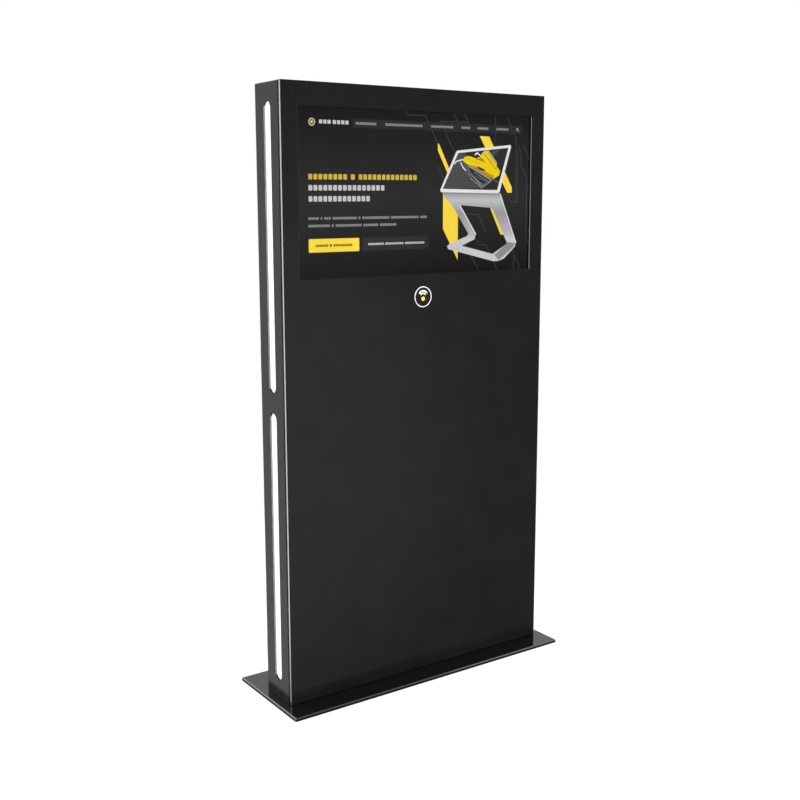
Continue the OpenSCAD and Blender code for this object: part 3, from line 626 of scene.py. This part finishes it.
def draw_vehicle(page):
    """A plain tracked vehicle, seen from above, on the tilted panel."""
    for start in (0, 7, 15):
        page.line("picture_light", 7, [(678 + start, 196 + start), (724 + start, 244 - start * 0.4)], 2)
    page.line("picture_light", 7, [(676, 212), (724, 245), (770, 219)], 3)
    page.line("picture_light", 7, [(690, 192), (758, 224)], 2)
    page.line("picture_light", 7, [(684, 207), (724, 238), (756, 221)], 1.2)
    page.line("picture_light", 7, [(694, 204), (744, 222)], 1.2)
    page.line("picture_light", 7, [(772, 214), (800, 226)], 1.6)
    page.line("white_frame", 7, [(606, 166), (614, 157), (642, 150)], 4)
    page.line("white_frame", 7, [(632, 160), (644, 178), (656, 187)], 4)
    page.line("white_frame", 7, [(694, 134), (704, 127), (724, 140)], 5)
    page.shape("picture_yellow", 8, [
        (640, 153), (650, 141), (664, 138), (682, 141), (704, 147), (708, 141), (722, 142), (724, 128),
        (738, 119), (754, 118), (794, 160), (790, 168), (807, 187), (802, 202), (776, 214), (735, 197),
        (700, 180), (660, 166)])
    page.shape("picture_amber", 9, [
        (668, 167), (700, 172), (780, 204), (776, 214), (735, 197), (700, 180)])
    page.shape("picture_amber", 9, [(704, 147), (722, 142), (744, 160), (724, 156)])
    page.shape("picture_dark", 10, [
        (707, 172), (716, 175), (740, 183), (737, 187), (720, 185), (706, 178)])
    page.line("picture_amber", 9, [(650, 147), (672, 150), (704, 162), (716, 160)], 1.6)
    page.line("picture_dark", 10, [(700, 148), (716, 151), (730, 150)], 1.4)
    page.line("picture_amber", 9, [(730, 128), (762, 152), (780, 176), (796, 186)], 1.6)
    page.line("picture_dark", 10, [(738, 132), (764, 158), (776, 168)], 1.2)
    page.line("picture_dark", 10, [(782, 180), (796, 172)], 1.2)
    page.line("stand", 9, [(664, 169), (768, 217)], 7)
    page.line("stand", 9, [(746, 118), (792, 162)], 4)


def draw_picture(page):
    """A tilted panel on a bent stand, with a vehicle shown on it."""
    draw_stand(page)
    frame_outer = [
        (613, 125), (619, 121), (852, 97), (856, 103), (806, 259), (799, 263), (550, 259), (546, 253)]
    frame_inner = [(622, 129), (844, 107), (795, 252), (557, 248)]
    page.shape("white_frame", 6, frame_outer, [frame_inner])
    page.shape("picture_dark", 5, frame_inner)
    page.shape("picture_mid", 6, [(622, 129), (652, 127), (668, 190), (632, 248), (557, 248)])
    page.shape("picture_grey", 6, [(636, 150), (668, 176), (684, 212), (664, 204), (648, 184)])
    page.shape("picture_mid", 6, [(650, 214), (664, 204), (716, 246), (640, 247), (626, 236)])
    page.shape("picture_mid", 6, [(764, 122), (808, 112), (774, 140)])
    draw_vehicle(page)


def build_screen():
    page = Page()
    page.shape("page", 1, [(-5, -5), (954, -5), (954, 535), (-5, 535)])
    draw_top_bar(page)
    draw_heading(page)
    draw_buttons(page)
    draw_tracks(page)
    draw_bands(page)
    draw_picture(page)
    dusk = ((0.0, srgb(20, 20, 21)), (0.47, srgb(45, 45, 46)), (1.0, srgb(25, 25, 26)))
    steel = ((0.0, srgb(210, 210, 210)), (0.32, srgb(212, 212, 213)), (0.40, srgb(188, 188, 192)),
             (0.70, srgb(158, 158, 162)), (0.88, srgb(200, 200, 202)), (1.0, srgb(150, 150, 154)))
    page.finish({
        "page": screen_gradient("page_background", page.bottom, page.top, dusk),
        "yellow": screen_light("page_yellow", srgb(252, 219, 66), 1.1),
        "yellow_dark": screen_light("page_yellow_dark", srgb(120, 102, 34)),
        "yellow_text": screen_light("page_yellow_text", srgb(214, 188, 60)),
        "white_text": screen_light("page_white", srgb(206, 206, 206)),
        "grey_text": screen_light("page_grey", srgb(150, 150, 152)),
        "button_grey": screen_light("page_button", srgb(47, 47, 49)),
        "nav_grey": screen_light("page_nav", srgb(45, 45, 47)),
        "track_grey": screen_light("page_track", srgb(80, 80, 82)),
        "stand": screen_gradient("page_stand", page.height(498), page.height(258), steel),
        "stand_shade": screen_light("page_stand_shade", srgb(150, 150, 154)),
        "white_frame": screen_light("page_frame", srgb(240, 240, 241)),
        "picture_dark": screen_light("page_picture_dark", srgb(46, 46, 48)),
        "picture_mid": screen_light("page_picture_mid", srgb(78, 78, 80)),
        "picture_grey": screen_light("page_picture_grey", srgb(104, 104, 106)),
        "picture_light": screen_light("page_picture_light", srgb(150, 150, 152)),
        "picture_yellow": screen_light("page_picture_yellow", srgb(252, 218, 20)),
        "picture_amber": screen_light("page_picture_amber", srgb(204, 156, 8)),
    })


# ---------------------------------------------------------------- badge


def build_badge():
    """Printed badge: a white ring round a touch symbol made of a dot and two arcs."""
    low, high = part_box("emblem_badge")
    centre = ((low.x + high.x) / 2, (low.z + high.z) / 2)
    radius = (high.x - low.x) / 2
    thickness = 0.8 * MM
    rim = 0.4 * MM
    ink_thickness = 0.25 * MM
    front_y = high.y - thickness
    print_y = front_y - ink_thickness

    base = bmesh.new()
    profile = [(0, 0), (radius - rim, 0), (radius, rim), (radius, thickness), (0, thickness)]
    lathe(base, profile, (centre[0], front_y, centre[1]), sides=96)
    disc = new_piece("badge_disc", base, SLOT_MATERIALS["badge"], "cabinet", 40)
    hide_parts("emblem_badge")

    white = bmesh.new()
    ring = [arc(centre, radius * share, 0, 360, 96)[:-1] for share in (0.97, 0.89)]
    slab(white, ring, print_y, front_y)
    start_deg, end_deg = 35, 145
    for outer_share, inner_share in ((0.62, 0.49), (0.40, 0.27)):
        outer = arc(centre, radius * outer_share, start_deg, end_deg, 24)
        inner = arc(centre, radius * inner_share, end_deg, start_deg, 24)
        slab(white, [outer + inner], print_y, front_y)
    ink = moulded_plastic("badge_white_ink", srgb(226, 226, 226), srgb(238, 238, 238), 0.35, 300)
    new_piece("badge_ring", white, ink, "cabinet")

    dot = bmesh.new()
    dot_centre = (centre[0], centre[1] - radius * 0.18)
    slab(dot, [arc(dot_centre, radius * 0.2, 0, 360, 40)[:-1]], print_y, front_y)
    yellow = moulded_plastic("badge_yellow_ink", srgb(238, 200, 44), srgb(248, 214, 64), 0.35, 300)
    new_piece("badge_dot", dot, yellow, "cabinet")


# ---------------------------------------------------------------- rounded edge of the screen opening


def build_screen_edge():
    """Rounded lip on the right edge of the screen opening. It draws the thin bright line there."""
    radius = 2.6 * MM
    depth = 4.6 * MM
    steps = 8
    glass_low, glass_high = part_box("touch_glass")
    front_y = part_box("front_panel")[0].y
    bottom, top = glass_low.z + Page.LAP, glass_high.z - Page.LAP
    turns = [math.pi / 2 * i / steps for i in range(steps + 1)]
    lip = [(radius * math.sin(t), radius - radius * math.cos(t)) for t in turns]
    profile = [*lip, (radius, depth), (0, depth)]
    edge_x = glass_high.x - Page.LAP
    bm = bmesh.new()
    rings = [[bm.verts.new((edge_x - x, front_y + y, z)) for x, y in profile] for z in (bottom, top)]
    for ring in rings:
        bm.faces.new(ring)
    for i in range(len(profile)):
        j = (i + 1) % len(profile)
        bm.faces.new((rings[0][i], rings[0][j], rings[1][j], rings[1][i]))
    new_piece("screen_edge_right", bm, SATIN_BLACK, "cabinet", 40)


# ---------------------------------------------------------------- light slots


SLOT_WALL = 0.5 * MM  # sheet of the flanges
FLANGE_WRAP_DEG = 28  # how far a flange follows each round end


def flange_outline(middle, bottom, top, radius, facing_deg):
    """Band along one long wall of a slot (facing 0 or 180 degrees) and some way round both of its ends."""
    turn = FLANGE_WRAP_DEG if facing_deg == 0 else -FLANGE_WRAP_DEG
    before, after = facing_deg - turn, facing_deg + turn
    inner_r = radius - SLOT_WALL
    outline = arc((middle, bottom), radius, before, facing_deg, 6)
    outline += arc((middle, top), radius, facing_deg, after, 6)
    outline += arc((middle, top), inner_r, after, facing_deg, 6)
    outline += arc((middle, bottom), inner_r, facing_deg, before, 6)
    return outline


def end_outline(middle, height, radius, facing_deg):
    """Band across one round end of a slot, between its two flanges."""
    reach = 90 - FLANGE_WRAP_DEG
    start, end = facing_deg - reach, facing_deg + reach
    outer = arc((middle, height), radius, start, end, 12)
    return outer + arc((middle, height), radius - SLOT_WALL, end, start, 12)


def side_slab(outlines, outer_x, inner_x):
    """Plates in the YZ plane, from outer_x to inner_x."""
    bm = bmesh.new()
    for outline in outlines:
        slab(bm, [outline], outer_x, inner_x)
    for vert in bm.verts:
        vert.co.x, vert.co.y = vert.co.y, vert.co.x
    return bm


def build_slot_liners():
    """Walls inside each slot: bright flanges along it, black foam across its ends."""
    lap = 7 * MM  # how far the diffuser reaches past the slot
    sheet = 2 * MM  # the side panel's
    bright = metal("slot_flange", srgb(128, 129, 131), srgb(152, 153, 155), 0.32, (1, 1, 0.02))
    foam = SLOT_MATERIALS["rubber_black"]
    for side in ("left", "right"):
        panel_low, panel_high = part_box("side_panel_" + side)
        for level in ("lower", "upper"):
            low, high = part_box(f"diffuser_{side}_{level}")
            if side == "left":
                outer_x, inner_x = panel_low.x + sheet, low.x
            else:
                outer_x, inner_x = panel_high.x - sheet, high.x
            middle = (low.y + high.y) / 2
            diffuser_r = (high.y - low.y) / 2
            bottom, top = low.z + diffuser_r, high.z - diffuser_r
            radius = diffuser_r - lap
            flanges = [flange_outline(middle, bottom, top, radius, facing) for facing in (0, 180)]
            bm = side_slab(flanges, outer_x, inner_x)
            new_piece(f"slot_flange_{side}_{level}", bm, bright, "cabinet", 30)
            ends = [end_outline(middle, top, radius, 90), end_outline(middle, bottom, radius, 270)]
            bm = side_slab(ends, outer_x, inner_x)
            new_piece(f"slot_end_{side}_{level}", bm, foam, "cabinet", 30)


# ---------------------------------------------------------------- foot


def build_shade_seal_strips():
    """Black rubber strips that close the shadow gap under the side panels. This is painted shade: dark matte
    strips that draw the gap's dark line and cover the panels' lower edges.
    """
    proud = 0.2 * MM  # outside the side panel's face
    depth = 2 * MM  # inside it
    lap = 0.9 * MM  # over the side panel's lower edge
    corner_r = 0.4 * MM
    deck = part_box("base_plate")[1].z
    for side in ("left", "right"):
        low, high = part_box("side_panel_" + side)
        if side == "left":
            left, right = low.x - proud, low.x + depth
        else:
            left, right = high.x - depth, high.x + proud
        bm = bmesh.new()
        # painted shade: a dark strip over the gap and over the side panel's lower edge
        slab(bm, [rounded_rect(left, deck, right, low.z + lap, corner_r)], low.y, high.y)
        new_piece("shade_seal_strip_" + side, bm, SLOT_MATERIALS["rubber_black"], "cabinet", 40)


# ---------------------------------------------------------------- cables


def smooth_path(corners, bend=28 * MM, steps=8):
    """Straight runs between corners, with each corner swept round."""
    points = [Vector(corners[0])]
    for before, corner, after in zip(corners, corners[1:], corners[2:]):
        into = Vector(before) - Vector(corner)
        out = Vector(after) - Vector(corner)
        reach = min(bend, into.length / 2, out.length / 2)
        start = Vector(corner) + into.normalized() * reach
        end = Vector(corner) + out.normalized() * reach
        for i in range(steps + 1):
            t = i / steps
            points.append(start * (1 - t) ** 2 + Vector(corner) * 2 * t * (1 - t) + end * t ** 2)
    points.append(Vector(corners[-1]))
    return points


def cable(node, radius, route, levels=()):
    """Replaces a CAD cable by a swept one.

    route names points by one letter or digit per axis: l and h are the low and high face of the node's
    box, a digit is a height from levels. The cable's ends reach the box's faces in Z.
    """
    faces = dict(zip("lh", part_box(node)))
    inward = {"l": radius, "h": -radius}
    corners = []
    for place, code in enumerate(route):
        is_end = place in (0, len(route) - 1)
        corner = []
        for axis, letter in enumerate(code):
            if letter.isdigit():
                corner.append(levels[int(letter)])
                continue
            inset = 0 if is_end and axis == 2 else inward[letter]
            corner.append(faces[letter][axis] + inset)
        corners.append(corner)
    bm = bmesh.new()
    tube(bm, smooth_path(corners), radius, 16)
    piece = new_piece(node + "_jacket", bm, CABLE_BLACK, "cabinet", 50)
    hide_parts(node)


def build_cables():
    """Mains lead, display cable and USB cable, each routed inside its CAD box."""
    last_rise = 40 * MM
    usb_first_rise = 90 * MM
    cable("mains_lead", 4 * MM, ["lhl", "lll", "llh", "hlh"])
    display_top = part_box("display_cable")[1].z
    cable("display_cable", 3 * MM, ["lhl", "lh0", "hh0", "hl0", "hlh"], [display_top - last_rise])
    usb_low, usb_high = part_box("usb_cable")
    levels = [usb_low.z + usb_first_rise, usb_high.z - last_rise]
    cable("usb_cable", 2.5 * MM, ["lhl", "lh0", "hh0", "hh1", "hl1", "hlh"], levels)


# ---------------------------------------------------------------- fans


def blade_grid(blade, blades, root_r, tip_r, depth):
    """Rows of points over one swept and twisted blade, from its root to its tip, round the origin."""
    spans, chords = 8, 6
    sweep, width = 0.5, 0.62  # radians
    pitch, camber = 0.72, 0.10  # shares of the depth
    grid = []
    for i in range(spans + 1):
        radius = root_r + (tip_r - root_r) * i / spans
        lead = 2 * math.pi * blade / blades + sweep * (i / spans) ** 1.4
        row = []
        for j in range(chords + 1):
            across = j / chords - 0.5
            angle = lead + across * width
            lift = depth * (0.5 + pitch * across + camber * math.cos(math.pi * across))
            row.append(Vector((radius * math.cos(angle), lift, radius * math.sin(angle))))
        grid.append(row)
    return grid


def thick_sheet(bm, grid, centre, thickness):
    """Adds a sheet through a grid of points, thickened along Y and closed round its rim."""
    last_i, last_j = len(grid) - 1, len(grid[0]) - 1
    skins = []
    for offset in (-thickness / 2, thickness / 2):
        place = centre + Vector((0, offset, 0))
        skins.append([[bm.verts.new(place + point) for point in row] for row in grid])
    for skin in skins:
        for i in range(last_i):
            for j in range(last_j):
                bm.faces.new((skin[i][j], skin[i + 1][j], skin[i + 1][j + 1], skin[i][j + 1]))
    rim = ([(i, 0) for i in range(last_i)] + [(last_i, j) for j in range(last_j)]
           + [(i, last_j) for i in range(last_i, 0, -1)] + [(0, j) for j in range(last_j, 0, -1)])
    for (i, j), (m, n) in zip(rim, rim[1:] + rim[:1]):
        bm.faces.new((skins[0][i][j], skins[0][m][n], skins[1][m][n], skins[1][i][j]))


def build_rotor(side):
    """Fan rotor: a hub with a chamfered edge and swept blades."""
    low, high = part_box("fan_rotor_" + side)
    centre = Vector(((low.x + high.x) / 2, low.y, (low.z + high.z) / 2))
    shaft_r = 2 * MM
    hub_r = 18 * MM
    hub_edge = 2 * MM
    tip_gap = 0.4 * MM
    blade_thickness = 1.2 * MM
    blades = 7
    depth = high.y - low.y
    root_r = hub_r * 0.96
    tip_r = (high.x - low.x) / 2 - tip_gap
    hub = [(shaft_r, 0), (hub_r, 0), (hub_r, depth - hub_edge), (hub_r - hub_edge, depth), (0, depth)]
    bm = bmesh.new()
    lathe(bm, hub, centre)
    for blade in range(blades):
        grid = blade_grid(blade, blades, root_r, tip_r, depth)
        thick_sheet(bm, grid, centre, blade_thickness)
    rotor = new_piece("fan_blades_" + side, bm, BLACK_PLASTIC, "fan_" + side, 35)
    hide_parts("fan_rotor_" + side)


def ring_points(centre, radius, steps):
    """Points of a full circle in the XZ plane."""
    return [centre + Vector((x, 0, z)) for x, z in arc((0, 0), radius, 0, 360, steps)[:-1]]


def build_guard(side):
    """Finger guard: wire rings on four spokes, each ending in an eye round a fan screw."""
    low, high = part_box("fan_guard_" + side)
    wire_r = 1.0 * MM
    wire_sides = 10
    ring_depth = 1.2 * MM
    ring_radii_mm = (15, 25, 35, 45, 55)
    eye_r = 4 * MM
    screw_inset = 5 * MM
    spoke_lift = 0.9 * MM
    spoke_start, spoke_bend = 12 * MM, 56 * MM
    centre = Vector(((low.x + high.x) / 2, low.y + ring_depth, (low.z + high.z) / 2))
    raised = centre + Vector((0, spoke_lift, 0))
    screw_distance = ((high.x - low.x) / 2 - screw_inset) * math.sqrt(2)
    bm = bmesh.new()
    for radius in ring_radii_mm:
        tube(bm, ring_points(centre, radius * MM, 48), wire_r, wire_sides, closed=True)
    for turn in (45, 135, 225, 315):
        along = Vector((math.cos(math.radians(turn)), 0, math.sin(math.radians(turn))))
        eye = centre + along * screw_distance
        spoke = [raised + along * spoke_start, raised + along * spoke_bend, eye - along * eye_r]
        tube(bm, spoke, wire_r, wire_sides)
        tube(bm, ring_points(eye, eye_r, 20), wire_r, wire_sides, closed=True)
    guard_steel = SLOT_MATERIALS["guard_steel"]
    guard = new_piece("fan_guard_wire_" + side, bm, guard_steel, "cabinet", 50)
    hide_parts("fan_guard_" + side)


# ---------------------------------------------------------------- room, lights and camera


def mirrored_floor(n):
    """What mirrors see of the floor: only the contact shadow round the plate, fading out within 22 mm."""
    plate_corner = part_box("base_plate")[1]
    shadow_width = 22 * MM
    here = n.vector_math("ABSOLUTE", n.place())["Vector"]
    past = n.vector_math("SUBTRACT", here, plate_corner)["Vector"]
    beyond = n.vector_math("MAXIMUM", past)["Vector"]
    gap = n.vector_math("LENGTH", beyond)["Value"]
    clear = n.add("ShaderNodeBsdfTransparent").outputs["BSDF"]
    dark = n.add("ShaderNodeEmission", {"Strength": 0.05}).outputs["Emission"]
    return n.mix_shaders(n.spread(gap, 0.95, 0.0, 0.0, shadow_width), clear, dark)


def pale_floor():
    """Pale matte floor that turns into plain white at a distance."""
    material = bpy.data.materials.new("pale_floor")
    material.use_nodes = True
    tree = material.node_tree
    n = Nodes(tree)
    principled = tree.nodes["Principled BSDF"]
    principled.inputs["Base Color"].default_value = (0.86, 0.86, 0.86, 1)
    principled.inputs["Roughness"].default_value = 0.8
    distance = n.vector_math("LENGTH", n.place())["Value"]
    far = n.spread(distance, 0.75, 1.0, 0.8, 2.4)
    white = n.add("ShaderNodeEmission", {"Color": (1, 1, 1, 1), "Strength": 1.0}).outputs["Emission"]
    seen_directly = n.mix_shaders(far, principled.outputs["BSDF"], white)
    in_mirror = n.add("ShaderNodeLightPath").outputs["Is Glossy Ray"]
    surface = n.mix_shaders(in_mirror, seen_directly, mirrored_floor(n))
    n.feed(tree.nodes["Material Output"].inputs["Surface"], surface)
    return material


def build_room():
    """The floor, large enough to reach past the picture."""
    reach = 30
    corners = ((-reach, -reach), (reach, -reach), (reach, reach), (-reach, reach))
    bm = bmesh.new()
    bm.faces.new([bm.verts.new((x, y, 0)) for x, y in corners])
    mesh = bpy.data.meshes.new("floor")
    bm.to_mesh(mesh)
    bm.free()
    mesh.materials.append(pale_floor())
    floor = bpy.data.objects.new("floor", mesh)
    bpy.context.scene.collection.objects.link(floor)
    floor.visible_shadow = False


def smooth_step(n, value, start, end, amount):
    """0 below start, amount above end, with a soft change between."""
    inputs = {"Value": value, "From Min": start, "From Max": end, "To Min": 0.0, "To Max": amount}
    return n.add("ShaderNodeMapRange", inputs, interpolation_type="SMOOTHSTEP").outputs["Result"]


def surround_light():
    """White to the camera. For everything else a studio: soft boxes behind, in front and overhead."""
    world = bpy.data.worlds.new("studio")
    bpy.context.scene.world = world
    world.use_nodes = True
    n = Nodes(world.node_tree)
    world.node_tree.nodes.clear()
    direction = n.add("ShaderNodeTexCoord").outputs["Generated"]
    axes = n.add("ShaderNodeSeparateXYZ", {"Vector": direction}).outputs
    y, z = axes["Y"], axes["Z"]
    to_front_right = Vector((0.40, -0.89, -0.21)).normalized()
    frontness = n.vector_math("DOT_PRODUCT", direction, to_front_right)["Value"]
    behind = smooth_step(n, y, 0.25, 0.60, 0.58)
    behind_high = n.math("MULTIPLY", smooth_step(n, y, 0.25, 0.60, 0.25), smooth_step(n, z, 0.10, 0.36, 1.0))
    front_spot = smooth_step(n, frontness, 0.955, 0.999, 0.31)
    overhead = n.math("MULTIPLY", smooth_step(n, z, 0.44, 0.56, 2.6), smooth_step(n, y, -0.75, -0.45, 1.0))
    level = 0.08
    for softbox in (behind, behind_high, front_spot, overhead):
        level = n.math("ADD", level, softbox)
    studio = n.add("ShaderNodeBackground", {"Color": (1, 1, 1, 1), "Strength": level}).outputs["Background"]
    white = n.add("ShaderNodeBackground", {"Color": (1, 1, 1, 1), "Strength": 1.0}).outputs["Background"]
    to_camera = n.add("ShaderNodeLightPath").outputs["Is Camera Ray"]
    n.add("ShaderNodeOutputWorld", {"Surface": n.mix_shaders(to_camera, studio, white)})


def area_light(name, centre, target, width, height, radiance):
    """A rectangular soft box at centre, turned to target. The camera doesn't see it."""
    light = bpy.data.lights.new(name, "AREA")
    light.shape = "RECTANGLE"
    light.size = width
    light.size_y = height
    light.energy = radiance * width * height * math.pi
    lamp = bpy.data.objects.new(name, light)
    lamp.location = centre
    lamp.rotation_euler = (Vector(target) - Vector(centre)).to_track_quat("-Z", "Y").to_euler()
    lamp.visible_camera = False
    bpy.context.scene.collection.objects.link(lamp)
    return lamp


def build_lights():
    """Tall boxes at both sides draw the bright lines on the bends. The front fill adds no reflection.

    The floor bounce continues the left box below the floor, more weakly.
    """
    surround_light()
    left = area_light(
        "left_softbox", (-4.1, -0.5, 0.55), (0, -0.5, 0.55), width=5.9, height=4.2, radiance=13.5)
    right = area_light(
        "right_softbox", (4.1, 0.2, 0.55), (0, 0.2, 0.55), width=3.4, height=4.2, radiance=6)
    bounce = area_light(
        "left_floor_bounce", (-4.1, -0.5, -2.3), (0, -0.5, -2.3), width=5.9, height=1.5, radiance=5)
    for box_light in (left, right, bounce):
        box_light.visible_diffuse = False
    fill = area_light(
        "front_fill", (1.5, -5.0, 2.0), (0, 0, 1.0), width=3.0, height=3.0, radiance=9.5)
    fill.visible_glossy = False


def build_camera():
    """Eye-level view from the front left, placed from the front panel's left foot."""
    yaw, pitch, roll = (math.radians(angle) for angle in (34.05, 9.637, -0.269))
    from_foot = Vector((-1.640, -2.945, 1.643))
    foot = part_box("front_panel")[0]
    foot.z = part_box("base_plate")[1].z
    ahead = Vector((math.sin(yaw) * math.cos(pitch), math.cos(yaw) * math.cos(pitch), -math.sin(pitch)))
    level_right = Vector((math.cos(yaw), -math.sin(yaw), 0))
    level_up = level_right.cross(ahead)
    right = level_right * math.cos(roll) + level_up * math.sin(roll)
    up = level_up * math.cos(roll) - level_right * math.sin(roll)
    camera = bpy.data.cameras.new("camera")
    camera.sensor_width = 36
    camera.lens = 49.03
    camera.shift_x = 0.0275
    camera.shift_y = -0.0191
    camera.clip_end = 200
    holder = bpy.data.objects.new("camera", camera)
    turn = Matrix((right, up, -ahead)).transposed()
    holder.matrix_world = Matrix.Translation(foot + from_foot) @ turn.to_4x4()
    bpy.context.scene.collection.objects.link(holder)
    bpy.context.scene.camera = holder


dress_cad_nodes()
build_screen()
build_badge()
build_screen_edge()
build_slot_liners()
build_shade_seal_strips()
build_cables()
for fan_side in ("left", "right"):
    build_rotor(fan_side)
    build_guard(fan_side)
build_room()
build_lights()
build_camera()
bpy.context.scene.view_settings.view_transform = "Standard"
